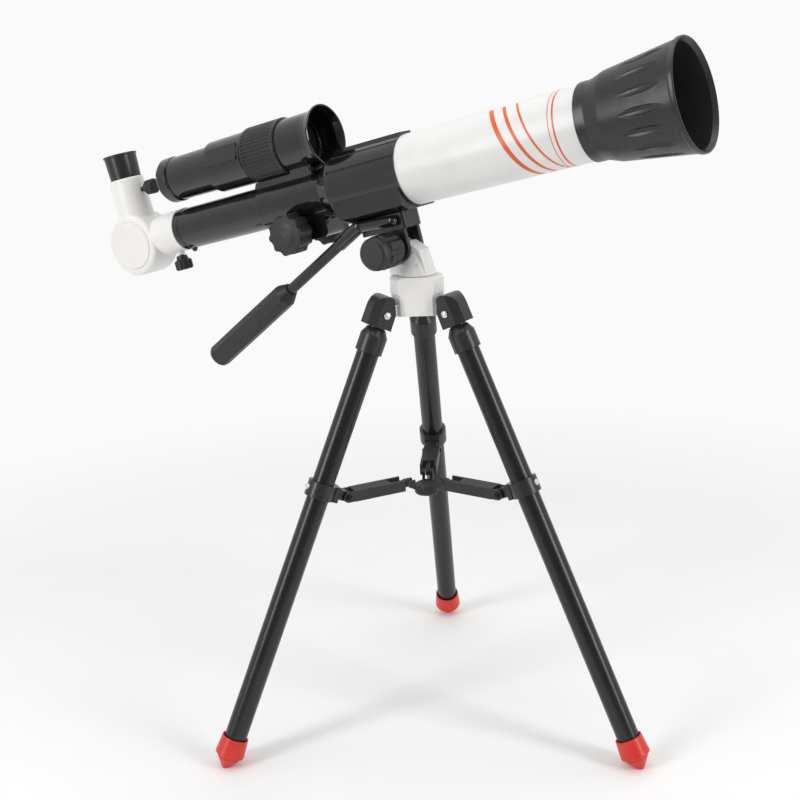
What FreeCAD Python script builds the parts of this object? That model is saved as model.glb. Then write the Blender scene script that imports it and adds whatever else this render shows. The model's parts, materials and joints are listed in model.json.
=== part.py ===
import FreeCAD, Part
import math
import os

# Small refractor telescope on a folding table tripod. Millimetres, +Z up, origin on the
# floor under the pan axis, +X the way the telescope points.

V = FreeCAD.Vector
X_AXIS = V(1, 0, 0)
Y_AXIS = V(0, 1, 0)
Z_AXIS = V(0, 0, 1)
ORIGIN = V(0, 0, 0)
PLAN_MIDDLE = V(-32.22, 4.48, 0)   # middle of the plan box, from the pan axis

# ---- driving dimensions -------------------------------------------------------------
FIT = 0.05                 # radial running fit of pins, shafts and sliding tubes
GAP = 0.4                  # free gap between pieces that pass each other

# tripod
LEG_AZIMUTHS = {"a": -3.5, "b": 116.5, "c": 236.5}
PIVOT_R = 25.4             # leg pivot from the pan axis
PIVOT_Z = 279.7
FOOT_R = 152.0             # foot tip circle
SPLAY = math.degrees(math.atan2(FOOT_R - PIVOT_R, PIVOT_Z))
LEG_LEN = math.hypot(FOOT_R - PIVOT_R, PIVOT_Z)
LEG_RAD = 7.1
STUB_RAD = 5.2
COLLAR_RAD = 8.6
RIVET_RAD = 1.5
LUG_HALF = 4.0             # half thickness of the hub lugs
KNUCKLE_HALF = 8.5

# spreader
BRACE_DROP = 116.6         # pin position along the leg, from the leg pivot
BRACE_IN = 18.0            # pin position inboard of the leg centre line
BRACE_HUB_R = 13.0         # inner pivot circle
BRACE_WIDTH = 11.0
BRACE_HIGH = 7.0
BRACE_WALL = 1.6
BRACE_PIN_RAD = 1.3

# pan and tilt head
HUB_TOP = 301.5
HUB_LOW = 277.3
FLANGE_RAD = 17.2
CORE_RAD = 16.6
HUB_FLAT = 13.2              # flats between the legs, from the pan axis
TILT_X = -9.0
TILT_Z = 319.0
TILT_BOLT_RAD = 2.5
TONGUE_HALF = 6.0
EAR_IN = 6.3
EAR_OUT = 9.3
EAR_RAD = 9.5

# telescope: local x along the optical axis, local z square to it
ALTITUDE = 13.3
AXIS_Z = 366.0             # optical axis where it crosses the pan axis
TUBE_RAD = 21.7
TUBE_BORE = 19.4
TUBE_REAR = 1.7
TUBE_FRONT = 121.5
SLEEVE_RAD = 22.4
SLEEVE_REAR = -49.0
DRAW_RAD = 13.87
DRAW_REAR = -189.0
DRAW_FRONT = -52.0
COLLAR_REAR = -114.0
GUIDE_RAD = 15.2
RACK_PITCH_Z = -15.3
MODULE = 0.8
PINION_TEETH = 12
PINION_X = -86.0
PINION_PITCH = MODULE * PINION_TEETH / 2
PINION_Z = RACK_PITCH_Z - PINION_PITCH
KNOB_RAD = 12.9
DIAG_X = -231.0            # eyepiece axis
DRUM_RAD = 21.4
DIAG_Z = -1.8
FINDER_Z = 34.6            # finder axis above the optical axis
HANDLE_Y = -15.4
HANDLE_DIP = 24.4          # pan handle below the optical axis


# ---- helpers ------------------------------------------------------------------------
def rod(radius, start, end):
    """Cylinder between two points."""
    line = end - start
    return Part.makeCylinder(radius, line.Length, start, line)


def box(x0, x1, y0, y1, z0, z1):
    return Part.makeBox(x1 - x0, y1 - y0, z1 - z0, V(x0, y0, z0))


def spun(points, axis, base=ORIGIN):
    """Solid of revolution from (station, radius) pairs about an axis through base."""
    across = Y_AXIS if axis != Y_AXIS else Z_AXIS
    corners = [base + axis * s + across * r for s, r in points]
    face = Part.Face(Part.makePolygon(corners + corners[:1]))
    return face.revolve(base, axis, 360)


def prism_y(points, y0, y1):
    """Polygon of (x, z) pairs drawn out along y."""
    corners = [V(x, y0, z) for x, z in points]
    face = Part.Face(Part.makePolygon(corners + corners[:1]))
    return face.extrude(V(0, y1 - y0, 0))


def prism_x(points, x0, x1):
    """Polygon of (y, z) pairs drawn out along x."""
    corners = [V(x0, y, z) for y, z in points]
    face = Part.Face(Part.makePolygon(corners + corners[:1]))
    return face.extrude(V(x1 - x0, 0, 0))


def prism_z(points, z0, z1):
    """Polygon of (x, y) pairs drawn out along z."""
    corners = [V(x, y, z0) for x, y in points]
    face = Part.Face(Part.makePolygon(corners + corners[:1]))
    return face.extrude(V(0, 0, z1 - z0))


def joined(shapes):
    body = shapes[0]
    for extra in shapes[1:]:
        body = body.fuse(extra)
    return body.removeSplitter()


def less(body, tools):
    for tool in tools:
        body = body.cut(tool)
    return body


def turned(shape, axis, degrees, centre=ORIGIN):
    copy = shape.copy()
    copy.rotate(centre, axis, degrees)
    return copy


def moved(shape, vector):
    copy = shape.copy()
    copy.translate(vector)
    return copy


def lens_solid(radius, edge, bulge, centre, axis):
    """Biconvex lens: a drum with two shallow domes."""
    ball = (radius * radius + bulge * bulge) / (2 * bulge)
    half = edge / 2 + bulge
    drum = rod(radius, centre - axis * half, centre + axis * half)
    front = Part.makeSphere(ball, centre - axis * (ball - half))
    back = Part.makeSphere(ball, centre + axis * (ball - half))
    return drum.common(front).common(back)


def lifted(shape):
    """From the telescope's own frame into the stand's frame."""
    return moved(turned(shape, Y_AXIS, -ALTITUDE), V(0, 0, AXIS_Z))


def local(x, z):
    """Point of the stand's frame (x, z) in the telescope's own frame."""
    a = math.radians(ALTITUDE)
    dz = z - AXIS_Z
    return (x * math.cos(a) + dz * math.sin(a), dz * math.cos(a) - x * math.sin(a))


def splayed(shape, key):
    """From a leg's own frame (pivot at the origin, leg down -z) to its place."""
    tilted = moved(turned(shape, Y_AXIS, -SPLAY), V(PIVOT_R, 0, PIVOT_Z))
    return turned(tilted, Z_AXIS, LEG_AZIMUTHS[key])


PARTS = {}


def keep(name, shape):
    PARTS[name] = shape


# ---- tripod hub ---------------------------------------------------------------------
hub_body = spun([(HUB_LOW, 0), (HUB_LOW, CORE_RAD), (290.2, CORE_RAD), (291.0, FLANGE_RAD),
                 (299.9, FLANGE_RAD), (HUB_TOP, 16.0), (HUB_TOP, 0)], Z_AXIS)
flats = []
for azimuth in LEG_AZIMUTHS.values():
    flat = box(HUB_FLAT, 30, -30, 30, 270, 310)
    flats.append(turned(flat, Z_AXIS, azimuth + 60))
hub_body = less(hub_body, flats)
lug_z = [HUB_LOW, PIVOT_Z + 5.0]
hub_lugs = []
for key, azimuth in LEG_AZIMUTHS.items():
    lug = box(8.0, PIVOT_R, -LUG_HALF, LUG_HALF, lug_z[0], lug_z[1])
    tip = rod(4.8, V(PIVOT_R, -LUG_HALF, PIVOT_Z), V(PIVOT_R, LUG_HALF, PIVOT_Z))
    lug = lug.fuse(tip)
    hub_lugs.append(turned(lug, Z_AXIS, azimuth))
hub = joined([hub_body] + hub_lugs)
hub_holes = [rod(5.0 + FIT, V(0, 0, 280.0), V(0, 0, HUB_TOP + 1))]
hub_holes.append(rod(8.0, V(0, 0, 273.0), V(0, 0, 281.0)))
for azimuth in LEG_AZIMUTHS.values():
    hole = rod(RIVET_RAD, V(PIVOT_R, -9, PIVOT_Z), V(PIVOT_R, 9, PIVOT_Z))
    hub_holes.append(turned(hole, Z_AXIS, azimuth))
keep("tripod_hub", less(hub, hub_holes))

rivets = []
for azimuth in LEG_AZIMUTHS.values():
    shank = rod(RIVET_RAD, V(0, -9.6, 0), V(0, 9.6, 0))
    dome = spun([(8.9, 0), (8.9, 2.2), (9.3, 2.2), (9.9, 1.5), (10.1, 0)], Y_AXIS)
    rivet = joined([shank, dome, turned(dome, Z_AXIS, 180)])
    rivets.append(turned(moved(rivet, V(PIVOT_R, 0, PIVOT_Z)), Z_AXIS, azimuth))
keep("leg_rivets", Part.makeCompound(rivets))

# ---- legs ---------------------------------------------------------------------------
knuckle_side = Part.Face(Part.Wire([
    Part.makeLine(V(-6, -9, -8.6), V(9.6, -9, -8.6)),
    Part.makeLine(V(9.6, -9, -8.6), V(9.6, -9, 1.5)),
    Part.Arc(V(9.6, -9, 1.5), V(7.4, -9, 8.2), V(1.0, -9, 11.6)).toShape(),
    Part.makeLine(V(1.0, -9, 11.6), V(-1.6, -9, 10.8)),
    Part.makeLine(V(-1.6, -9, 10.8), V(-5.7, -9, 2.2)),
    Part.makeLine(V(-5.7, -9, 2.2), V(-6, -9, -8.6))])).extrude(V(0, 18, 0))
knuckle_plan = prism_z([(-7, -KNUCKLE_HALF), (4.6, -KNUCKLE_HALF), (9.8, -4.4), (9.8, 4.4),
                        (4.6, KNUCKLE_HALF), (-7, KNUCKLE_HALF)], -9, 13)
slot_half = LUG_HALF + 0.35
knuckle = knuckle_side.common(knuckle_plan)
knuckle = knuckle.fuse(rod(STUB_RAD, V(0, 0, -30), V(0, 0, -8)))
lug_slot = prism_y([(-9, -6.2), (6.6, -6.2), (6.6, 3.0), (-9, 10.05)], -slot_half, slot_half)
knuckle = less(knuckle, [
    lug_slot,
    rod(RIVET_RAD + FIT, V(0, -9, 0), V(0, 9, 0))]).removeSplitter()

collar = spun([(-9.4, STUB_RAD), (-9.4, 5.9), (-14.2, COLLAR_RAD), (-25.4, COLLAR_RAD),
               (-25.4, LEG_RAD), (-12.9, LEG_RAD), (-12.9, STUB_RAD)], Z_AXIS)
leg_tube = spun([(-12.9, STUB_RAD), (-12.9, LEG_RAD), (-LEG_LEN + 9.9, LEG_RAD),
                 (-LEG_LEN + 9.9, STUB_RAD)], Z_AXIS)
foot = spun([(-LEG_LEN - 0.8, 0), (-LEG_LEN - 0.8, 1.6), (-LEG_LEN + 0.8, 3.0),
             (-LEG_LEN + 6.6, 7.3), (-LEG_LEN + 8.2, 7.3), (-LEG_LEN + 8.6, 9.1),
             (-LEG_LEN + 9.4, 9.5), (-LEG_LEN + 21.0, 8.5), (-LEG_LEN + 21.0, 7.8),
             (-LEG_LEN + 18.0, LEG_RAD), (-LEG_LEN + 9.9, LEG_RAD), (-LEG_LEN + 9.9, 0)],
            Z_AXIS)

ring_z = [-BRACE_DROP - 5.4, -BRACE_DROP + 4.6]
bracket = joined([
    spun([(ring_z[0], LEG_RAD), (ring_z[0], 9.2), (ring_z[1], 9.2), (ring_z[1], LEG_RAD)],
         Z_AXIS),
    box(-11.5, -8.0, -5.2, 5.2, ring_z[0], ring_z[1]),
    box(-BRACE_IN, -11.0, -3.4, 3.4, -BRACE_DROP - 3.2, -BRACE_DROP + 3.2),
    rod(3.2, V(-BRACE_IN, -3.4, -BRACE_DROP), V(-BRACE_IN, 3.4, -BRACE_DROP))])
bracket = less(bracket, [
    rod(LEG_RAD, V(0, 0, ring_z[0] - 1), V(0, 0, ring_z[1] + 1)),
    rod(1.0, V(7, 0, -BRACE_DROP), V(10, 0, -BRACE_DROP)),
    rod(BRACE_PIN_RAD, V(-BRACE_IN, -5, -BRACE_DROP), V(-BRACE_IN, 5, -BRACE_DROP))])

pin_shank = rod(BRACE_PIN_RAD, V(0, -6.3, 0), V(0, 6.3, 0))
pin_dome = spun([(5.85, 0), (5.85, 2.0), (6.2, 2.0), (6.7, 1.3), (6.8, 0)], Y_AXIS)
brace_pin = joined([pin_shank, pin_dome, turned(pin_dome, Z_AXIS, 180)])
ring_rivet = spun([(LEG_RAD, 0), (LEG_RAD, 1.0), (9.2, 1.0), (9.2, 1.9), (9.7, 1.9),
                   (10.5, 1.1), (10.7, 0)], X_AXIS, V(0, 0, -BRACE_DROP))
bracket_pins = Part.makeCompound([moved(brace_pin, V(-BRACE_IN, 0, -BRACE_DROP)), ring_rivet])

floor_cut = box(-400, 400, -400, 400, -20, 0)
for key in LEG_AZIMUTHS:
    keep("leg_knuckle_" + key, splayed(knuckle, key))
    keep("leg_collar_" + key, splayed(collar, key))
    keep("leg_tube_" + key, splayed(leg_tube, key))
    keep("leg_bracket_" + key, splayed(bracket, key))
    keep("bracket_pins_" + key, splayed(bracket_pins, key))
    keep("foot_" + key, splayed(foot, key).cut(floor_cut))

# ---- spreader -----------------------------------------------------------------------
splay_rad = math.radians(SPLAY)
BRACE_R = PIVOT_R + BRACE_DROP * math.sin(splay_rad) - BRACE_IN * math.cos(splay_rad)
BRACE_Z = PIVOT_Z - BRACE_DROP * math.cos(splay_rad) - BRACE_IN * math.sin(splay_rad)
half_w = BRACE_WIDTH / 2
half_h = BRACE_HIGH / 2
inner_w = half_w - BRACE_WALL
channel_in = BRACE_HUB_R + 4.5
channel_out = BRACE_R - 4.5
web_in = BRACE_HUB_R + 14.0       # the web stops short, so the open end straddles the fork
arm = joined([
    box(channel_in, channel_out, -half_w, half_w, -half_h, half_h),
    box(channel_out - 1, BRACE_R, -half_w, half_w, -3.3, 3.3),
    rod(3.3, V(BRACE_R, -half_w, 0), V(BRACE_R, half_w, 0))])
arm = less(arm, [
    box(channel_in - 1, web_in, -inner_w, inner_w, -half_h - 1, half_h + 1),
    box(web_in - 1, channel_out, -inner_w, inner_w, -half_h - 1, half_h - 1.5),
    box(channel_out - 0.01, BRACE_R + 9, -inner_w, inner_w, -5, 5),
    rod(BRACE_PIN_RAD + FIT, V(BRACE_R, -9, 0), V(BRACE_R, 9, 0))])
tongue = joined([
    box(BRACE_HUB_R, channel_in + 14, -1.3, 1.3, -2.4, 2.1),
    rod(2.4, V(BRACE_HUB_R, -1.3, 0), V(BRACE_HUB_R, 1.3, 0)),
    box(web_in, web_in + 1.8, -inner_w, inner_w, -half_h, half_h - 1.0)])
arm = arm.fuse(tongue).cut(rod(1.2, V(BRACE_HUB_R, -3, 0), V(BRACE_HUB_R, 3, 0)))
arm = arm.removeSplitter()
for key, azimuth in LEG_AZIMUTHS.items():
    keep("brace_arm_" + key, turned(moved(arm, V(0, 0, BRACE_Z)), Z_AXIS, azimuth))

hub_pieces = [spun([(-9.4, 0), (-9.4, 7.0), (-8.4, 7.9), (-4.2, 7.9), (-2.9, 7.2), (-2.9, 0)],
                   Z_AXIS)]
for azimuth in LEG_AZIMUTHS.values():
    fork = prism_y([(6.0, -5.0), (10.5, -4.2), (14.2, -2.2), (BRACE_HUB_R + 2.6, 0),
                    (BRACE_HUB_R + 2.6, 1.8), (6.0, 1.8)], -3.5, 3.5)
    fork = fork.cut(box(8.2, BRACE_HUB_R + 4, -1.75, 1.75, -6.0, 3.0))
    fork = fork.cut(box(0, 9.4, -4, 4, -2.9, 3.0))
    hub_pieces.append(turned(fork, Z_AXIS, azimuth))
spreader = joined(hub_pieces)
keep("spreader_hub", moved(spreader, V(0, 0, BRACE_Z)))

# ---- pan head -----------------------------------------------------------------------
post_cone = spun([(HUB_TOP + 0.3, 0), (HUB_TOP + 0.3, 11.8), (303.6, 11.4), (316.0, 6.6),
                  (316.0, 0)], Z_AXIS)
post_tongue = prism_y([(-14.2, HUB_TOP + 0.3), (10.4, HUB_TOP + 0.3), (10.2, 304.0),
                       (5.8, 317.4), (-3.0, 322.4), (-17.9, 321.0)], -TONGUE_HALF, TONGUE_HALF)
post_round = rod(4.2, V(TILT_X, -TONGUE_HALF, TILT_Z), V(TILT_X, TONGUE_HALF, TILT_Z))
post_foot = prism_y([(-14.2, HUB_TOP + 0.3), (9.0, HUB_TOP + 0.3), (6.0, 309.0),
                     (-15.2, 309.0)], -8.4, 8.4)
post = joined([post_cone, post_tongue, post_foot, post_round])
post_cuts = [rod(TILT_BOLT_RAD + FIT, V(TILT_X, -9, TILT_Z), V(TILT_X, 9, TILT_Z))]
for side in (-1, 1):
    start = V(TILT_X, side * TONGUE_HALF, TILT_Z)
    post_cuts.append(rod(10.6, start, start + Y_AXIS * side * 12))
post_cuts.append(rod(3.0, V(0, 0, 300), V(0, 0, 312)))
keep("pan_post", less(post, post_cuts).removeSplitter())
keep("pan_bolt", joined([
    rod(3.0, V(0, 0, 297.5), V(0, 0, 312)),
    rod(5.0, V(0, 0, 278.4), V(0, 0, HUB_TOP + 0.3)),
    rod(7.2, V(0, 0, 278.4), V(0, 0, 280.7)),
    rod(3.0, V(0, 0, 277.6), V(0, 0, 290))]))

# ---- tilt head (telescope frame) ----------------------------------------------------
tilt_x, tilt_z = local(TILT_X, TILT_Z)
PLATE_TOP = -22.9
PLATE_LOW = -33.2
PLATE_NEAR = -12.5
PLATE_FAR = 9.3
PLATE_FRONT = -6.0
plate = box(-40.0, PLATE_FRONT, PLATE_NEAR, PLATE_FAR, PLATE_LOW, PLATE_TOP)
upright = [e for e in plate.Edges if abs(e.tangentAt(e.FirstParameter).z) > 0.99]
plate = plate.makeFillet(3.0, [e for e in upright if e.CenterOfMass.y < 0])
upright = [e for e in plate.Edges if abs(e.tangentAt(e.FirstParameter).z) > 0.99
           and e.CenterOfMass.y > PLATE_FAR - 0.1]
plate = plate.makeFillet(6.0, upright)
ears = []
for side in (-1, 1):
    near, far = sorted([side * EAR_IN, side * EAR_OUT])
    ear = box(tilt_x - EAR_RAD, tilt_x + EAR_RAD, near, far, tilt_z, PLATE_LOW + 1)
    disc = rod(EAR_RAD, V(tilt_x, near, tilt_z), V(tilt_x, far, tilt_z))
    ears.append(ear.fuse(disc))
head = joined([plate] + ears)
head = head.cut(rod(TILT_BOLT_RAD + FIT, V(tilt_x, -20, tilt_z), V(tilt_x, 20, tilt_z)))
keep("mount_head", lifted(head))

tilt_base = V(tilt_x, 0, tilt_z)
keep("tilt_washer", lifted(spun([
    (-EAR_OUT - 1.6, TILT_BOLT_RAD + FIT), (-EAR_OUT - 1.6, 6.4), (-EAR_OUT, 7.0),
    (-EAR_OUT, TILT_BOLT_RAD + FIT)], Y_AXIS, tilt_base)))
knob_near = spun([(-36.2, 0), (-36.2, 7.8), (-35.3, 9.0), (-33.4, 10.2), (-31.4, 10.4),
                  (-30.6, 9.6), (-30.0, 8.9), (-29.2, 9.6), (-28.4, 10.8), (-17.0, 10.8),
                  (-13.0, 9.4), (-11.4, 7.4), (-11.4, TILT_BOLT_RAD), (-29.0, TILT_BOLT_RAD),
                  (-29.0, 0)], Y_AXIS, tilt_base)
notches = []
for k in range(8):
    cut = rod(2.3, tilt_base + V(11.9, -29.6, 0), tilt_base + V(11.9, -8, 0))
    notches.append(turned(cut, Y_AXIS, 10 + 45 * k, tilt_base))
    cut = rod(1.1, tilt_base + V(11.0, -37, 0), tilt_base + V(11.0, -29.6, 0))
    notches.append(turned(cut, Y_AXIS, 10 + 45 * k, tilt_base))
keep("tilt_knob", lifted(less(knob_near, notches)))
knob_far = spun([(9.6, TILT_BOLT_RAD), (9.6, 7.4), (11.0, 7.4), (12.0, 6.4), (12.4, 0),
                 (11.4, 0), (11.4, TILT_BOLT_RAD)], Y_AXIS, tilt_base)
keep("tilt_end_cap", lifted(knob_far))
keep("tilt_bolt", lifted(rod(TILT_BOLT_RAD, V(tilt_x, -29, tilt_z), V(tilt_x, 11.4, tilt_z))))

# ---- pan handle ---------------------------------------------------------------------
dip = math.radians(HANDLE_DIP)
handle_way = V(-math.cos(dip), 0, -math.sin(dip))
elbow = V(-38.0, HANDLE_Y, -26.0)
socket_tip = V(-13.0, HANDLE_Y, -27.0)
socket = joined([
    rod(3.4, elbow, socket_tip),
    Part.makeSphere(3.4, socket_tip),
    Part.makeSphere(4.3, elbow),
    rod(4.3, elbow, elbow + handle_way * 19)])
socket = less(socket, [
    plate,
    rod(3.5 + FIT, elbow + handle_way * 6, elbow + handle_way * 30)])
keep("handle_socket", lifted(socket))
rod_start = elbow + handle_way * 6.4
grip_start = elbow + handle_way * 70
grip_end = elbow + handle_way * 153
handle_rod = rod(3.5, rod_start, grip_start + handle_way * 20)
keep("handle_rod", lifted(handle_rod))
grip_points = [(0, 3.5), (0, 4.6), (7, 7.9), (81.4, 8.3), (83, 7.2), (83, 0), (20, 0),
               (20, 3.5)]
grip = spun(grip_points, Z_AXIS)
octagon = []
for k in range(8):
    a = math.radians(22.5 + 45 * k)
    octagon.append((8.1 * math.cos(a), 8.1 * math.sin(a)))
grip = grip.common(prism_z(octagon, -1, 84))
grip = moved(turned(grip, Y_AXIS, -90 - HANDLE_DIP), grip_start)
keep("handle_grip", lifted(grip))

# ---- main tube, dew shield and objective --------------------------------------------
keep("main_tube", lifted(spun([
    (-16.0, TUBE_BORE), (-16.0, 20.6), (TUBE_REAR, 20.6), (TUBE_REAR, TUBE_RAD),
    (TUBE_FRONT, TUBE_RAD), (TUBE_FRONT, 21.1), (125.2, 21.1), (125.2, TUBE_BORE)], X_AXIS)))
dew = spun([
    (TUBE_FRONT, 21.1), (TUBE_FRONT, 22.7), (127.6, 22.7), (130.0, 23.3), (136.6, 25.5),
    (180.4, 31.1), (181.4, 31.9), (183.2, 31.9), (183.7, 31.5), (183.7, 31.0),
    (181.0, 29.2), (138.0, 23.3), (130.4, 20.9), (126.9, 20.2), (126.9, 21.1)], X_AXIS)
DIMPLE_X = 162.0
DIMPLE_COUNT = 16
dimple_half = 18.5
dimple_deep = 3.0
cone_slope = math.degrees(math.atan2(31.1 - 25.5, 180.4 - 136.6))
dimple_arc = Part.Arc(V(-dimple_half, 0, 0), V(0, 0, dimple_deep), V(dimple_half, 0, 0))
dimple_face = Part.Face(Part.Wire([dimple_arc.toShape(),
                                   Part.makeLine(V(dimple_half, 0, 0), V(-dimple_half, 0, 0))]))
dimple = dimple_face.revolve(ORIGIN, X_AXIS, 360)
dimple = turned(dimple, Y_AXIS, -cone_slope)
cone_rad = 25.5 + (DIMPLE_X - 136.6) * math.tan(math.radians(cone_slope))
dimples = []
for k in range(DIMPLE_COUNT):
    placed = moved(dimple, V(DIMPLE_X, 0, cone_rad + 1.4))
    dimples.append(turned(placed, X_AXIS, 2 + 360 / DIMPLE_COUNT * k))
keep("dew_shield", lifted(less(dew, dimples)))
keep("lens_cell", lifted(spun([
    (110.0, 16.6), (110.0, 19.35), (125.3, 19.35), (125.3, 21.0), (126.8, 21.0),
    (126.8, 18.0), (115.0, 18.0), (115.0, 16.6)], X_AXIS)))
keep("objective_lens", lifted(lens_solid(17.95, 3.0, 1.6, V(118.2, 0, 0), X_AXIS)))
keep("lens_ring", lifted(spun([
    (120.0, 17.1), (120.0, 17.95), (122.6, 17.95), (122.6, 16.6)], X_AXIS)))

# ---- sleeve with the saddle ---------------------------------------------------------
sleeve_ring = rod(SLEEVE_RAD, V(SLEEVE_REAR, 0, 0), V(TUBE_REAR, 0, 0))
saddle = prism_x([(-21.2, -7.0), (-21.2, -19.4), (-14.6, PLATE_TOP), (14.6, PLATE_TOP),
                  (21.2, -19.4), (21.2, -7.0)], SLEEVE_REAR, 0.6)
slant = prism_y([(-60, 0), (-52.6, -5), (-44.0, -24), (-60, -26)], -25, 25)
saddle = saddle.cut(slant)
rail = prism_x([(-7.5, 20.0), (-6.0, 23.4), (6.0, 23.4), (7.5, 20.0)], SLEEVE_REAR, TUBE_REAR)
sleeve = joined([sleeve_ring, saddle, rail])
grooves = []
for angle in (34, -34, 62, -62):
    a = math.radians(angle)
    centre = V(0, SLEEVE_RAD * math.sin(a), SLEEVE_RAD * math.cos(a))
    grooves.append(rod(0.75, centre + X_AXIS * (SLEEVE_REAR - 2), centre + X_AXIS * 3))
sleeve = less(sleeve, [
    rod(20.6, V(-16, 0, 0), V(9, 0, 0)),
    rod(TUBE_BORE, V(-60, 0, 0), V(0, 0, 0)),
    socket] + grooves)
keep("rear_sleeve", lifted(sleeve))

# ---- focuser ------------------------------------------------------------------------
focuser = spun([
    (-36.0, DRAW_RAD + FIT), (-36.0, TUBE_BORE), (SLEEVE_REAR, TUBE_BORE),
    (SLEEVE_REAR, SLEEVE_RAD), (-51.0, SLEEVE_RAD), (-62.0, GUIDE_RAD),
    (COLLAR_REAR + 0.8, GUIDE_RAD), (COLLAR_REAR, GUIDE_RAD - 0.5),
    (COLLAR_REAR, DRAW_RAD + FIT)], X_AXIS)
housing = box(-99.0, -66.0, -9.0, 9.0, -27.0, -8.0)
level = [e for e in housing.Edges
         if abs(e.tangentAt(e.FirstParameter).y) > 0.99 and e.CenterOfMass.z < -20]
housing = housing.makeFillet(4.0, level)
bore = rod(DRAW_RAD + FIT, V(-130, 0, 0), V(-30, 0, 0))
finder_clear = rod(20.4, V(-70.0, 0, FINDER_Z), V(-48.0, 0, FINDER_Z))
focuser = joined([focuser, housing])
focuser = less(focuser, [
    bore,
    finder_clear,
    box(-120, -30, -3.0, 3.0, -16.8, -10),
    rod(6.4, V(PINION_X, -3.2, PINION_Z), V(PINION_X, 3.2, PINION_Z)),
    rod(2.0 + FIT, V(PINION_X, -12, PINION_Z), V(PINION_X, 12, PINION_Z))])
keep("focuser_body", lifted(focuser))

draw = spun([
    (DRAW_REAR - 21.0, 10.0), (DRAW_REAR - 21.0, 11.2), (DRAW_REAR, 11.2), (DRAW_REAR, 13.9),
    (DRAW_REAR + 0.5, 14.3), (DRAW_REAR + 4.0, 14.3), (DRAW_REAR + 4.4, DRAW_RAD),
    (DRAW_FRONT, DRAW_RAD), (DRAW_FRONT, 12.4), (DRAW_REAR + 3, 12.4), (DRAW_REAR + 1, 10.0)],
    X_AXIS)
pitch = math.pi * MODULE
tooth_root = pitch * 0.33
tooth_tip = pitch * 0.13
rack_top = RACK_PITCH_Z + MODULE * 1.25
rack_teeth = []
count = int(52 / pitch)
for k in range(count):
    mid = PINION_X + (k - count // 3) * pitch + pitch / 2
    rack_teeth.append(prism_y([
        (mid - tooth_root, rack_top), (mid - tooth_tip, RACK_PITCH_Z - MODULE * 0.85),
        (mid + tooth_tip, RACK_PITCH_Z - MODULE * 0.85), (mid + tooth_root, rack_top)],
        -2.5, 2.5))
rack_x0 = PINION_X - (count // 3) * pitch - 1.0
rack_x1 = rack_x0 + count * pitch + 2.0
rack_bed = box(rack_x0, rack_x1, -2.5, 2.5, rack_top - 0.02, -13.0)
bump = Part.makeSphere(1.9, V(DRAW_REAR + 2.6, 0, -14.4))
draw = joined([draw, rack_bed, bump] + rack_teeth)
draw = draw.cut(rod(12.4, V(DRAW_REAR + 6, 0, 0), V(-40, 0, 0)))
keep("draw_tube", lifted(draw))

axle_base = V(PINION_X, 0, PINION_Z)
gear = rod(PINION_PITCH - MODULE * 1.25, axle_base - Y_AXIS * 2.5, axle_base + Y_AXIS * 2.5)
root_rad = PINION_PITCH - MODULE * 1.25 - 0.05
tip_rad = PINION_PITCH + MODULE * 0.8
gear_teeth = []
for k in range(PINION_TEETH):
    tooth = prism_y([
        (PINION_X - 0.86, PINION_Z + root_rad), (PINION_X - 0.50, PINION_Z + PINION_PITCH),
        (PINION_X - 0.20, PINION_Z + tip_rad), (PINION_X + 0.20, PINION_Z + tip_rad),
        (PINION_X + 0.50, PINION_Z + PINION_PITCH), (PINION_X + 0.86, PINION_Z + root_rad)],
        -2.5, 2.5)
    gear_teeth.append(turned(tooth, Y_AXIS, k * 360 / PINION_TEETH, axle_base))
axle = joined([gear, rod(2.0, axle_base - Y_AXIS * 25, axle_base + Y_AXIS * 25)] + gear_teeth)
keep("focus_pinion", lifted(axle))

knob = spun([(9.4, 2.0), (9.4, 6.0), (14.6, 6.4), (15.0, 11.4), (15.8, 12.2), (27.4, 12.2),
             (28.2, 11.4), (28.4, 8.4), (29.3, 5.5), (29.7, 0), (25.0, 0), (25.0, 2.0)],
            Y_AXIS, axle_base)
lobes = []
for k in range(10):
    lobe = rod(2.5, axle_base + V(10.6, 15.4, 0), axle_base + V(10.6, 27.8, 0))
    lobes.append(turned(lobe, Y_AXIS, 36 * k, axle_base))
knob_core = knob
for lobe in lobes:
    knob_core = knob_core.fuse(lobe)
flutes = []
for k in range(10):
    flute = rod(1.25, axle_base + V(12.7, 14, 0), axle_base + V(12.7, 31, 0))
    flutes.append(turned(flute, Y_AXIS, 36 * k + 18, axle_base))
knob_right = less(knob_core, flutes)
knob_left = knob_right.mirror(axle_base, Y_AXIS)
keep("focus_knobs", lifted(Part.makeCompound([knob_left, knob_right])))

# ---- star diagonal and eyepiece -----------------------------------------------------
drum_centre = V(DIAG_X, 0, DIAG_Z)
drum = Part.makeCylinder(DRUM_RAD, 26.0, drum_centre - Y_AXIS * 13, Y_AXIS)
drum = drum.makeFillet(3.2, [e for e in drum.Edges if e.Curve.TypeId == "Part::GeomCircle"])
socket_horn = spun([(DRAW_REAR - 0.4, 0), (DRAW_REAR - 0.4, 14.2), (-203.0, 14.0),
                    (-214.0, 12.6), (-225.0, 12.6), (-225.0, 0)], X_AXIS)
neck = spun([(0, 0), (0, 12.8), (19.0, 12.6), (43.6, 11.9), (44.4, 11.2), (44.4, 0)],
            Z_AXIS, V(DIAG_X, 0, 0))
screw_boss = rod(2.9, V(-200.0, 0, -16.2), V(-200.0, 0, -10.0))
diagonal = joined([drum, socket_horn, neck, screw_boss])
hollow = Part.makeSphere(16.6, drum_centre).common(
    Part.makeCylinder(16.0, 22.0, drum_centre - Y_AXIS * 11, Y_AXIS))
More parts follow.
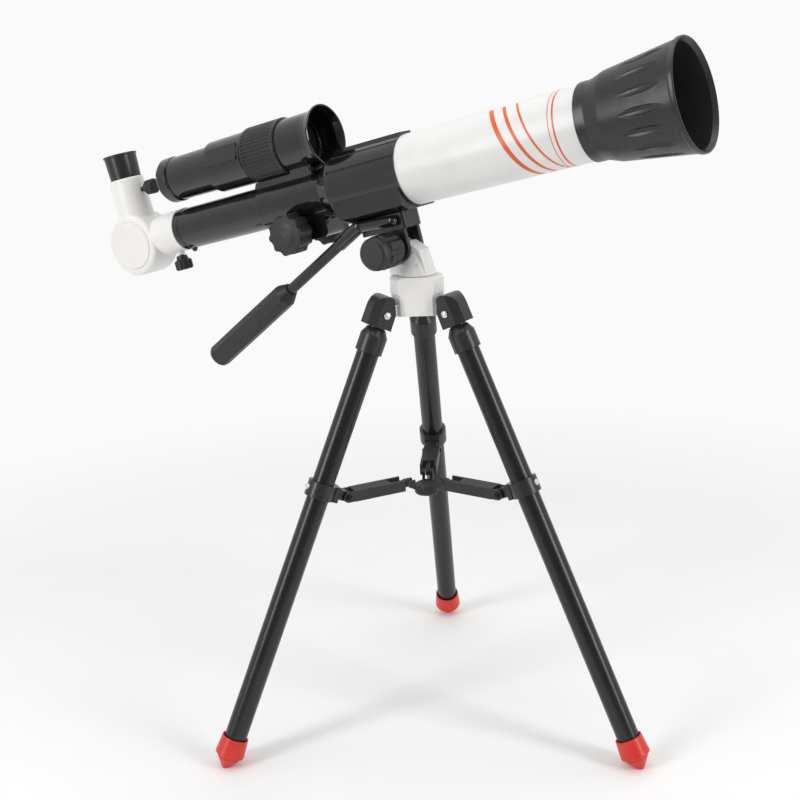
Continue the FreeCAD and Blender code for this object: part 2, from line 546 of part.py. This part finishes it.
diagonal = less(diagonal, [
    hollow,
    rod(11.2 + FIT, V(-211.0, 0, 0), V(-180, 0, 0)),
    rod(9.8, V(-226, 0, 0), V(-205, 0, 0)),
    rod(10.1, V(DIAG_X, 0, 24.0), V(DIAG_X, 0, 60)),
    rod(8.8, V(DIAG_X, 0, 6), V(DIAG_X, 0, 30)),
    rod(1.6 + FIT, V(-200, 0, -30), V(-200, 0, -11.0)),
    rod(1.6 + FIT, V(DIAG_X + 5, 0, 34.4), V(DIAG_X + 20, 0, 34.4))])
mirror = Part.makeBox(1.6, 19.0, 19.0, V(-0.8, -9.5, -9.5))
mirror = moved(turned(mirror, Y_AXIS, 45), V(DIAG_X, 0, 0) + V(-4.5, 0, -4.5))
cover_seat = rod(16.5, drum_centre - Y_AXIS * 13.5, drum_centre - Y_AXIS * 12.4)
keep("diagonal_body", lifted(less(diagonal, [cover_seat, mirror])))
keep("diagonal_cover", lifted(spun([
    (-12.4, 0), (-12.4, 16.4), (-13.2, 16.4), (-13.6, 15.9), (-13.6, 0)],
    Y_AXIS, drum_centre)))
keep("diagonal_mirror", lifted(mirror))

eye_base = V(DIAG_X, 0, 0)
keep("eyepiece_barrel", lifted(spun([
    (28.0, 8.6), (28.0, 10.0), (44.6, 10.0), (44.6, 10.7), (60.0, 11.3), (60.4, 11.9),
    (61.2, 11.9), (61.6, 11.4), (61.0, 8.2), (54.0, 6.2), (50.6, 6.2), (50.6, 8.6)],
    Z_AXIS, eye_base)))
keep("eyepiece_lens", lifted(lens_solid(8.6, 1.6, 1.2, V(DIAG_X, 0, 47.6), Z_AXIS)))
head_solid = spun([(0, 0), (0, 3.0), (1.6, 3.4), (2.4, 5.0), (8.4, 5.2), (9.2, 4.4), (9.2, 0)],
                  X_AXIS)
head_flutes = []
for k in range(8):
    flute = rod(1.0, V(1.6, 5.7, 0), V(12, 5.7, 0))
    head_flutes.append(turned(flute, X_AXIS, 45 * k))
head_solid = less(head_solid, head_flutes)
eye_screw = joined([
    moved(head_solid, V(DIAG_X + 15.6, 0, 34.4)),
    rod(1.6, V(DIAG_X + 10.6, 0, 34.4), V(DIAG_X + 16.6, 0, 34.4))])
keep("eyepiece_screw", lifted(eye_screw))
low_head = spun([(-26.6, 0), (-26.6, 5.0), (-25.8, 6.1), (-20.4, 6.1), (-19.4, 4.2),
                 (-16.6, 3.6), (-16.6, 1.6), (-11.6, 1.6), (-11.6, 0)], Z_AXIS, V(-200, 0, 0))
low_flutes = []
for k in range(6):
    groove = rod(1.3, V(-200 + 6.7, 0, -28), V(-200 + 6.7, 0, -19.8))
    low_flutes.append(turned(groove, Z_AXIS, 60 * k, V(-200, 0, 0)))
keep("diagonal_screw", lifted(less(low_head, low_flutes)))

# ---- finder -------------------------------------------------------------------------
finder_base = V(0, 0, FINDER_Z - 0.4)
keep("finder_cap", lifted(spun([
    (-192.4, 5.5), (-192.4, 12.2), (-191.4, 14.2), (-189.6, 15.3), (-183.0, 15.3),
    (-181.9, 14.7), (-181.9, 12.0), (-187.0, 10.5), (-190.0, 5.5)], X_AXIS, finder_base)))
finder_tube = spun([
    (-181.2, 9.5), (-181.2, 14.6), (-147.2, 14.8), (-145.6, 17.0), (-114.6, 17.2),
    (-114.0, 16.6), (-114.0, 15.4), (-78.0, 15.4), (-78.0, 13.4), (-118.0, 13.4),
    (-146.0, 12.2), (-179.5, 12.2), (-179.5, 9.5)], X_AXIS, finder_base)
panels = []
for side in (-1, 1):
    near, far = sorted([side * 14.0, side * 17.4])
    panel = moved(box(-142.6, -116.6, near, far, -5.6, 5.6), finder_base)
    panels.append(turned(panel, X_AXIS, side * 20, finder_base))
keep("finder_tube", lifted(less(joined([finder_tube] + panels), [
    rod(13.4, V(-118, 0, 0) + finder_base, V(-60, 0, 0) + finder_base)])))
knurled = spun([
    (-113.2, 15.45), (-113.2, 17.9), (-112.5, 18.6), (-85.2, 18.6), (-84.6, 17.9),
    (-84.6, 15.45)], X_AXIS, finder_base)
knurls = []
for k in range(48):
    angle = 7.5 * k
    if abs(angle - 180) > 36:
        groove = rod(0.68, finder_base + V(-111.0, 0, 18.7), finder_base + V(-86.8, 0, 18.7))
        knurls.append(turned(groove, X_AXIS, angle, finder_base))
keep("finder_ring", lifted(less(knurled, knurls)))
keep("finder_barrel", lifted(spun([
    (-84.2, 15.4), (-84.2, 17.2), (-64.0, 17.3), (-60.0, 17.9), (-57.0, 19.0), (-55.6, 19.8),
    (-54.9, 19.7), (-55.2, 18.9), (-60.0, 17.0), (-64.0, 16.2), (-72.0, 15.8),
    (-72.0, 14.6), (-77.9, 14.6), (-77.9, 15.4)], X_AXIS, finder_base)))
keep("finder_lens", lifted(lens_solid(14.55, 2.4, 1.3, V(-75.4, 0, FINDER_Z - 0.4), X_AXIS)))
keep("finder_eye_lens", lifted(lens_solid(9.4, 1.6, 1.0, V(-178.2, 0, FINDER_Z - 0.4), X_AXIS)))

foot_block = prism_y([(-118.0, 8.0), (-112.0, 19.0), (-67.0, 19.0), (-64.6, 8.0)], -8.5, 8.5)
finder_low = joined([
    rod(17.3, V(-84.2, 0, FINDER_Z - 0.4), V(-62, 0, FINDER_Z - 0.4)),
    rod(19.0 + GAP, V(-121, 0, FINDER_Z - 0.4), V(-84.2, 0, FINDER_Z - 0.4))])
shoe = less(foot_block, [
    finder_low,
    rod(GUIDE_RAD, V(-120, 0, 0), V(-50, 0, 0)),
    box(-120, -84.0, -4.2, 4.2, 8, 20),
    rod(1.2, V(-72, -6.0, 5), V(-72, -6.0, 20))])
keep("finder_shoe", lifted(shoe))
bolt = joined([
    rod(2.4, V(-66.6, -11.2, 14.4), V(-66.6, -11.2, 18.0)),
    box(-69.2, -64.0, -13.8, -8.5, 13.0, 14.8)])
keep("finder_bolt", lifted(bolt))

# ---- files --------------------------------------------------------------------------
os.makedirs("parts", exist_ok=True)
for name, shape in PARTS.items():
    moved(shape, -PLAN_MIDDLE).exportStep("parts/" + name + ".step")
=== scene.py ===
import json
import math

import bmesh
import bpy
from mathutils import Matrix, Vector


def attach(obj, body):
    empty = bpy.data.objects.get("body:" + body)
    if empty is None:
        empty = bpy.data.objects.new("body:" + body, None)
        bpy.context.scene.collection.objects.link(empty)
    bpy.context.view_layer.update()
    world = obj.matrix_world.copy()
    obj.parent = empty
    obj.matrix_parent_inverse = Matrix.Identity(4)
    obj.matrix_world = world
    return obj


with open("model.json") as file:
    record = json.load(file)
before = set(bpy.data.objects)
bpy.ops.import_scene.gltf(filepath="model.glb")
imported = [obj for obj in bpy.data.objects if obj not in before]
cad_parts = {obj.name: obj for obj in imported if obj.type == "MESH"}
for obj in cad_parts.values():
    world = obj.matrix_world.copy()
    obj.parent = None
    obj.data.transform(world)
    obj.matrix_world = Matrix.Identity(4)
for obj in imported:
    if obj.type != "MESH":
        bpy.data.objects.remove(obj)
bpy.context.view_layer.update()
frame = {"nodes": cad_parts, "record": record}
nodes = frame["nodes"]
scene = bpy.context.scene

# Lengths are in metres.
PAN_X, PAN_Y = 0.03222, -0.00448        # the pan axis in plan


def add_object(name, data):
    obj = bpy.data.objects.new(name, data)
    scene.collection.objects.link(obj)
    return obj


# ---------------------------------------------------------------- materials

NOISE_SPAN = (0.25, 0.75)               # nearly all of a noise texture lies in this range
MOTTLE_DETAIL = 4.0
GRAIN_DETAIL = 2.0
GRAIN_DEPTH = 0.00004
RAMP_START, RAMP_END = 0.3, 0.7         # mottle values that give the dark and light colours
COAT_ROUGHNESS = 0.08
BEVEL_SAMPLES = 4
GLASS_TRANSMISSION = 0.35
GLASS_IOR = 1.52
GLASS_SHEEN = 1.25                      # how much lighter the mottle of the glass gets
# painted shade: the near-black colour given to the arm pins within ARM_PIN_REACH of the pan
# axis
PIN_PAINTED_SHADE = (0.02, 0.02, 0.021)
ARM_PIN_REACH = 0.07                    # arm pins are nearer the pan axis, rivets farther


def sockets(material):
    tree = material.node_tree
    return tree, tree.nodes["Principled BSDF"]


def own_coords(tree):
    """The piece's own coordinates, in metres."""
    return tree.nodes.new("ShaderNodeTexCoord").outputs["Object"]


def length_of(tree, vector):
    node = tree.nodes.new("ShaderNodeVectorMath")
    node.operation = "LENGTH"
    tree.links.new(vector, node.inputs[0])
    return node.outputs["Value"]


def noise(tree, coords, scale, detail):
    texture = tree.nodes.new("ShaderNodeTexNoise")
    texture.inputs["Scale"].default_value = scale
    texture.inputs["Detail"].default_value = detail
    tree.links.new(coords, texture.inputs["Vector"])
    return texture.outputs["Fac"]


def ranged(tree, value, source, target, smooth=False):
    """Maps the source range of a value onto the target range."""
    mapped = tree.nodes.new("ShaderNodeMapRange")
    if smooth:
        mapped.interpolation_type = "SMOOTHSTEP"
    mapped.inputs["From Min"].default_value = source[0]
    mapped.inputs["From Max"].default_value = source[1]
    mapped.inputs["To Min"].default_value = target[0]
    mapped.inputs["To Max"].default_value = target[1]
    tree.links.new(value, mapped.inputs["Value"])
    return mapped.outputs["Result"]


def surface(name, dark, light, rough, grain=900.0, bump=0.15, mottle=60.0,
            edge=0.0, metallic=0.0, coat=0.0, specular=0.5):
    """A procedural finish: mottled colour between dark and light, roughness between the
    two values of rough, a fine grain in the bump and edges softened to the radius edge.
    grain and mottle are the scales of the two noise textures."""
    material = bpy.data.materials.new(name)
    material.use_nodes = True
    tree, shader = sockets(material)
    coords = own_coords(tree)
    broad = noise(tree, coords, mottle, MOTTLE_DETAIL)
    fine = noise(tree, coords, grain, GRAIN_DETAIL)
    ramp = tree.nodes.new("ShaderNodeValToRGB")
    ramp.color_ramp.elements[0].position = RAMP_START
    ramp.color_ramp.elements[0].color = (*dark, 1.0)
    ramp.color_ramp.elements[1].position = RAMP_END
    ramp.color_ramp.elements[1].color = (*light, 1.0)
    tree.links.new(broad, ramp.inputs["Fac"])
    tree.links.new(ramp.outputs["Color"], shader.inputs["Base Color"])
    tree.links.new(ranged(tree, fine, NOISE_SPAN, rough), shader.inputs["Roughness"])
    shader.inputs["Metallic"].default_value = metallic
    shader.inputs["Coat Weight"].default_value = coat
    shader.inputs["Coat Roughness"].default_value = COAT_ROUGHNESS
    shader.inputs["Specular IOR Level"].default_value = specular
    relief = tree.nodes.new("ShaderNodeBump")
    relief.inputs["Strength"].default_value = bump
    relief.inputs["Distance"].default_value = GRAIN_DEPTH
    tree.links.new(fine, relief.inputs["Height"])
    if edge:
        soft = tree.nodes.new("ShaderNodeBevel")
        soft.samples = BEVEL_SAMPLES
        soft.inputs["Radius"].default_value = edge
        tree.links.new(soft.outputs["Normal"], relief.inputs["Normal"])
    tree.links.new(relief.outputs["Normal"], shader.inputs["Normal"])
    return material


def glass(name, tint):
    """Coated lens glass: dark, with a faint coloured sheen that varies over the face."""
    sheen = tuple(min(1.0, part * GLASS_SHEEN) for part in tint)
    material = surface(name, tint, sheen, (0.02, 0.04), grain=300.0, bump=0.01)
    shader = sockets(material)[1]
    shader.inputs["Transmission Weight"].default_value = GLASS_TRANSMISSION
    shader.inputs["IOR"].default_value = GLASS_IOR
    return material


def paint_shade_near_axis(material, reach):
    """Painted shade nearer the pan axis than reach: a near-black colour in place of the
    material's own colour, which stays beyond it."""
    tree, shader = sockets(material)
    bright = shader.inputs["Base Color"].links[0].from_socket
    from_axis = tree.nodes.new("ShaderNodeVectorMath")
    from_axis.operation = "MULTIPLY_ADD"
    from_axis.inputs[1].default_value = (1.0, 1.0, 0.0)
    from_axis.inputs[2].default_value = (-PAN_X, -PAN_Y, 0.0)
    tree.links.new(own_coords(tree), from_axis.inputs[0])
    beyond = tree.nodes.new("ShaderNodeMath")
    beyond.operation = "GREATER_THAN"
    beyond.inputs[1].default_value = reach
    tree.links.new(length_of(tree, from_axis.outputs["Vector"]), beyond.inputs[0])
    # this mix puts the painted shade on the pins near the axis
    tint = tree.nodes.new("ShaderNodeMix")
    tint.data_type = "RGBA"
    tint.inputs["A"].default_value = (*PIN_PAINTED_SHADE, 1.0)
    tree.links.new(beyond.outputs["Value"], tint.inputs["Factor"])
    tree.links.new(bright, tint.inputs["B"])
    tree.links.new(tint.outputs["Result"], shader.inputs["Base Color"])


def paint(obj, material):
    obj.data.materials.clear()
    obj.data.materials.append(material)


# name, dark colour, light colour, least and most roughness
BLACK = surface("black_plastic", (0.016, 0.016, 0.018), (0.024, 0.024, 0.026),
                (0.24, 0.36), grain=1400.0, edge=0.0004)
RUBBER = surface("soft_black", (0.014, 0.014, 0.015), (0.022, 0.022, 0.023),
                 (0.42, 0.58), grain=1800.0, bump=0.35, edge=0.0004)
TUBE = surface("black_tube", (0.006, 0.006, 0.0065), (0.010, 0.010, 0.011),
               (0.25, 0.30), grain=2400.0, bump=0.006)
WHITE = surface("white_plastic", (0.87, 0.855, 0.83), (0.91, 0.9, 0.88),
                (0.34, 0.44), grain=1500.0, edge=0.0004)
ENAMEL = surface("white_tube", (0.80, 0.795, 0.785), (0.84, 0.835, 0.825),
                 (0.26, 0.34), bump=0.04)
RED = surface("red_plastic", (0.56, 0.022, 0.014), (0.66, 0.032, 0.02),
              (0.3, 0.42), grain=1500.0, edge=0.0004)
RIVET = surface("rivet_metal", (0.72, 0.72, 0.72), (0.86, 0.86, 0.85),
                (0.22, 0.34), grain=1200.0, metallic=0.85, edge=0.0002)
STEEL = surface("steel", (0.42, 0.42, 0.43), (0.56, 0.56, 0.57),
                (0.2, 0.34), metallic=1.0, edge=0.0001)
MIRROR = surface("mirror", (0.85, 0.86, 0.87), (0.9, 0.91, 0.92),
                 (0.02, 0.05), grain=500.0, bump=0.02, metallic=1.0)
ORANGE = surface("orange_ink", (0.74, 0.11, 0.012), (0.82, 0.14, 0.02),
                 (0.3, 0.4), grain=1500.0, bump=0.1)
GLOSS = surface("gloss_black", (0.007, 0.007, 0.0075), (0.011, 0.011, 0.012),
                (0.08, 0.13), grain=700.0, bump=0.04, coat=0.5, edge=0.0004)
PINS = surface("bracket_pin_metal", (0.72, 0.72, 0.72), (0.86, 0.86, 0.85),
               (0.26, 0.38), grain=1200.0, metallic=0.85, edge=0.0002)
# painted shade on the arm pins near the pan axis
paint_shade_near_axis(PINS, ARM_PIN_REACH)
GLASS = glass("lens_glass", (0.014, 0.019, 0.023))

SLOT_FINISH = {
    "black_plastic": BLACK, "soft_black": RUBBER, "black_tube": TUBE,
    "white_plastic": WHITE, "red_plastic": RED, "rivet_metal": RIVET,
    "steel": STEEL, "mirror": MIRROR, "lens_glass": GLASS,
}
GLOSSY_NODES = ("rear_sleeve", "focuser_body", "draw_tube", "handle_socket",
                "finder_tube", "finder_barrel", "finder_cap")

for subpart in frame["record"]["subparts"]:
    paint(nodes[subpart["node"]], SLOT_FINISH[subpart["material_slot"]])
paint(nodes["main_tube"], ENAMEL)
for name in GLOSSY_NODES:
    paint(nodes[name], GLOSS)
for leg in "abc":
    paint(nodes["bracket_pins_" + leg], PINS)

# ---------------------------------------------------------------- lines on the tube

ALTITUDE = math.radians(13.3)
AXES_MEET = (PAN_X, PAN_Y, 0.366)       # the optical axis crosses the pan axis here
TUBE_RADIUS = 0.0217
LINE_RADIUS = TUBE_RADIUS + 0.00004     # the ink stands just clear of the tube
TUBE_PLACE = (Matrix.Translation(Vector(AXES_MEET))
              @ Matrix.Rotation(-ALTITUDE, 4, "Y"))

RING_STEPS = 120
RINGS = (                               # name, station along the tube, width
    ("line_ring_front", 0.1085, 0.0011),
    ("line_ring_rear", 0.1055, 0.0005),
)
SWEEPS = 3
SWEEP_STEPS = 72
SWEEP_START, SWEEP_GAP = 0.066, 0.0085  # station of the first, and from each to the next
SWEEP_ADVANCE = 0.022                   # along the tube from start to end
SWEEP_FROM, SWEEP_TURN = -18, -150      # degrees round the tube
SWEEP_WIDTH, SWEEP_TAPER = 0.0030, 0.0008   # of the first, and how much less each next


def tube_line(name, path, width, steps):
    """A flat line of ink on the tube. path(t) gives the station along the tube and the
    angle round it for t from 0 to 1."""
    shape = bmesh.new()
    edges = []
    for step in range(steps + 1):
        station, angle = path(step / steps)
        pair = []
        for side in (-0.5, 0.5):
            spot = Vector((station + side * width, LINE_RADIUS * math.sin(angle),
                           LINE_RADIUS * math.cos(angle)))
            pair.append(shape.verts.new(TUBE_PLACE @ spot))
        edges.append(pair)
    for (a, b), (c, d) in zip(edges, edges[1:]):
        shape.faces.new((a, b, d, c))
    mesh = bpy.data.meshes.new(name)
    shape.normal_update()
    shape.to_mesh(mesh)
    shape.free()
    line = add_object(name, mesh)
    paint(line, ORANGE)
    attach(line, "telescope")


for name, station, width in RINGS:
    tube_line(name, lambda t, at=station: (at, 2 * math.pi * t), width, RING_STEPS)
for k in range(SWEEPS):
    tube_line("line_sweep_%d" % k,
              lambda t, k=k: (SWEEP_START + SWEEP_GAP * k + SWEEP_ADVANCE * t,
                              math.radians(SWEEP_FROM + SWEEP_TURN * t)),
              SWEEP_WIDTH - SWEEP_TAPER * k, SWEEP_STEPS)

# ---------------------------------------------------------------- camera

CAMERA_PLACE = (0.45252, -0.69638, 0.4554)
CAMERA_RIGHT = Vector((0.8519, 0.5214, -0.0501)).normalized()
CAMERA_BACK = Vector((0.5132, -0.8117, 0.2789)).normalized()
SENSOR_MM, LENS_MM = 36.0, 59.24
CLIP_NEAR, CLIP_FAR = 0.01, 50.0

camera_data = bpy.data.cameras.new("camera")
camera_data.sensor_width = SENSOR_MM
camera_data.lens = LENS_MM
camera_data.clip_start = CLIP_NEAR
camera_data.clip_end = CLIP_FAR
camera = add_object("camera", camera_data)
camera_up = CAMERA_BACK.cross(CAMERA_RIGHT).normalized()
camera_turn = Matrix((CAMERA_RIGHT, camera_up, CAMERA_BACK)).transposed()
camera.matrix_world = Matrix.Translation(CAMERA_PLACE) @ camera_turn.to_4x4()
scene.camera = camera
scene.view_settings.view_transform = "Standard"

# ---------------------------------------------------------------- room and lights

BACKDROP = (1.0, 1.0, 1.0)
BACKDROP_STRENGTH = 0.955
DIM_SIDE = (0.513, -0.812, 0.279)       # the room is dimmest this way, behind the camera
DIM_SPAN = (0.15, 0.9)                  # cosine to DIM_SIDE where dimming starts and ends
ROOM_STRENGTH = (0.95, 0.3)             # before and after dimming
AIM_X, AIM_Z = 0.03, 0.22               # the side boxes face the middle of the stand
SOFTBOXES = (                           # name, place, target, width and height, watts
    ("box_top", (0.0, 0.1, 1.6), (0, 0, 0.2), (1.3, 1.3), 5.5),
    ("box_left", (-0.46, -1.12, 0.75), (AIM_X, 0, AIM_Z), (0.3, 1.1), 8.0),
    ("box_right", (1.22, -0.08, 0.7), (AIM_X, 0, AIM_Z), (0.3, 1.1), 8.0),
)

world = bpy.data.worlds.new("studio")
scene.world = world
world.use_nodes = True
air = world.node_tree
backdrop = air.nodes["Background"]
backdrop.inputs["Color"].default_value = (*BACKDROP, 1.0)
backdrop.inputs["Strength"].default_value = BACKDROP_STRENGTH
facing = air.nodes.new("ShaderNodeVectorMath")
facing.operation = "DOT_PRODUCT"
facing.inputs[1].default_value = DIM_SIDE
directions = air.nodes.new("ShaderNodeTexCoord").outputs["Generated"]
air.links.new(directions, facing.inputs[0])
room = air.nodes.new("ShaderNodeBackground")
air.links.new(ranged(air, facing.outputs["Value"], DIM_SPAN, ROOM_STRENGTH),
              room.inputs["Strength"])
seen = air.nodes.new("ShaderNodeLightPath").outputs["Is Camera Ray"]
choice = air.nodes.new("ShaderNodeMixShader")
air.links.new(seen, choice.inputs["Fac"])
air.links.new(room.outputs["Background"], choice.inputs[1])
air.links.new(backdrop.outputs["Background"], choice.inputs[2])
air.links.new(choice.outputs["Shader"], air.nodes["World Output"].inputs["Surface"])


def softbox(name, place, target, size, power):
    light = bpy.data.lights.new(name, "AREA")
    light.shape = "RECTANGLE"
    light.size, light.size_y = size
    light.energy = power
    lamp = add_object(name, light)
    lamp.location = place
    towards = Vector(target) - Vector(place)
    lamp.rotation_euler = towards.to_track_quat("-Z", "Y").to_euler()


for box in SOFTBOXES:
    softbox(*box)

# ---------------------------------------------------------------- floor

FLOOR_RADIUS = 3.0
FLOOR_SEGMENTS = 96
FLOOR_FADE = (0.25, 0.75)               # from solid to clear, by distance from the origin

floor_mesh = bpy.data.meshes.new("floor")
floor_shape = bmesh.new()
bmesh.ops.create_circle(floor_shape, cap_ends=True, segments=FLOOR_SEGMENTS,
                        radius=FLOOR_RADIUS)
floor_shape.to_mesh(floor_mesh)
floor_shape.free()
floor = add_object("floor", floor_mesh)
PAPER = surface("floor_paper", (0.86, 0.86, 0.86), (0.88, 0.88, 0.88), (0.7, 0.8),
                grain=300.0, mottle=8.0, bump=0.05, specular=0.1)
paper, paper_shader = sockets(PAPER)
fade = ranged(paper, length_of(paper, own_coords(paper)), FLOOR_FADE, (0.0, 1.0),
              smooth=True)
clear = paper.nodes.new("ShaderNodeBsdfTransparent")
blend = paper.nodes.new("ShaderNodeMixShader")
paper.links.new(fade, blend.inputs["Fac"])
paper.links.new(paper_shader.outputs["BSDF"], blend.inputs[1])
paper.links.new(clear.outputs["BSDF"], blend.inputs[2])
paper.links.new(blend.outputs["Shader"], paper.nodes["Material Output"].inputs["Surface"])
paint(floor, PAPER)
